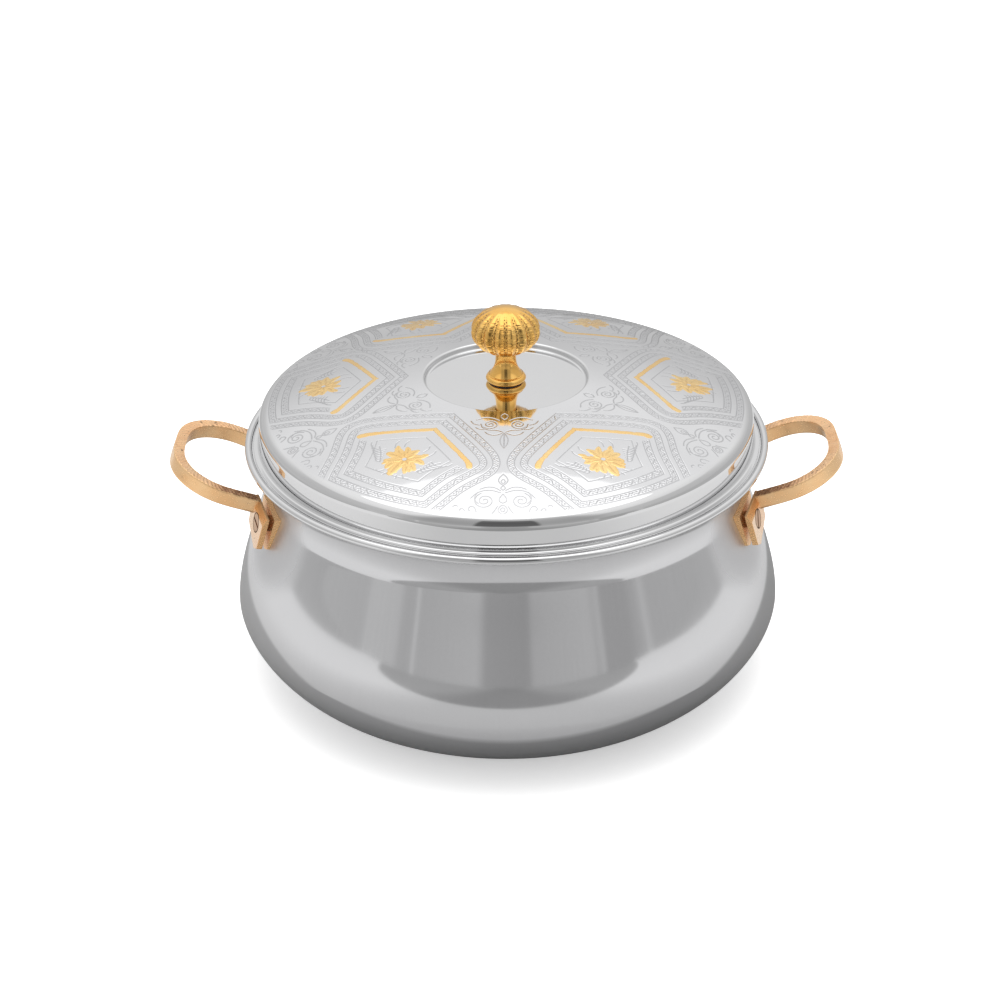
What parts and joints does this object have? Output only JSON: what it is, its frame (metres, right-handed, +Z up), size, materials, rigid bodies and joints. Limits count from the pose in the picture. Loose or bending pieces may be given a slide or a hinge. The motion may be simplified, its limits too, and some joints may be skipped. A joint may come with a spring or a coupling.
{
  "type": "insulated serving pot",
  "caption": "Double-walled insulated serving pot with a round belly, a lift-off engraved domed lid with a turned knob, and cast loop handles.",
  "frame": {"origin": "centre of the foot ring's flat face, on the pot's axis", "axes": "+Z up along the pot's axis, +X towards the right handle, +Y away from the viewer"},
  "size_m": [0.3352, 0.275, 0.1942],
  "materials": {
    "satin_steel": "satin",
    "polished_steel": "polished",
    "plain_steel": "satin",
    "cast_brass": "satin",
    "screw_brass": "satin",
    "polished_brass": "polished",
    "foam": "matte",
    "gasket": "matte"
  },
  "bodies": {
    "pot": {"outer_shell": "satin_steel", "inner_bowl": "polished_steel", "base_plate": "satin_steel", "body_insulation": "foam", "left_handle": "cast_brass", "right_handle": "cast_brass", "left_front_mount_plate": "cast_brass", "left_rear_mount_plate": "cast_brass", "right_front_mount_plate": "cast_brass", "right_rear_mount_plate": "cast_brass", "handle_sleeves": "cast_brass", "handle_screws": "screw_brass", "handle_nuts": "plain_steel"},
    "lid": {"lid_shell": "polished_steel", "lid_liner": "polished_steel", "lid_insulation": "foam", "lid_spacer_tube": "plain_steel", "knob_gasket": "gasket", "knob_stem": "polished_brass", "knob_head": "polished_brass", "knob_rod": "plain_steel", "knob_washer": "plain_steel", "knob_cap_nut": "plain_steel"}
  },
  "joints": [
    {"name": "lid_lift", "type": "slide", "parent": "pot", "child": "lid", "axis": [0, 0, 1], "range_m": [0, 0.1]}
  ]
}
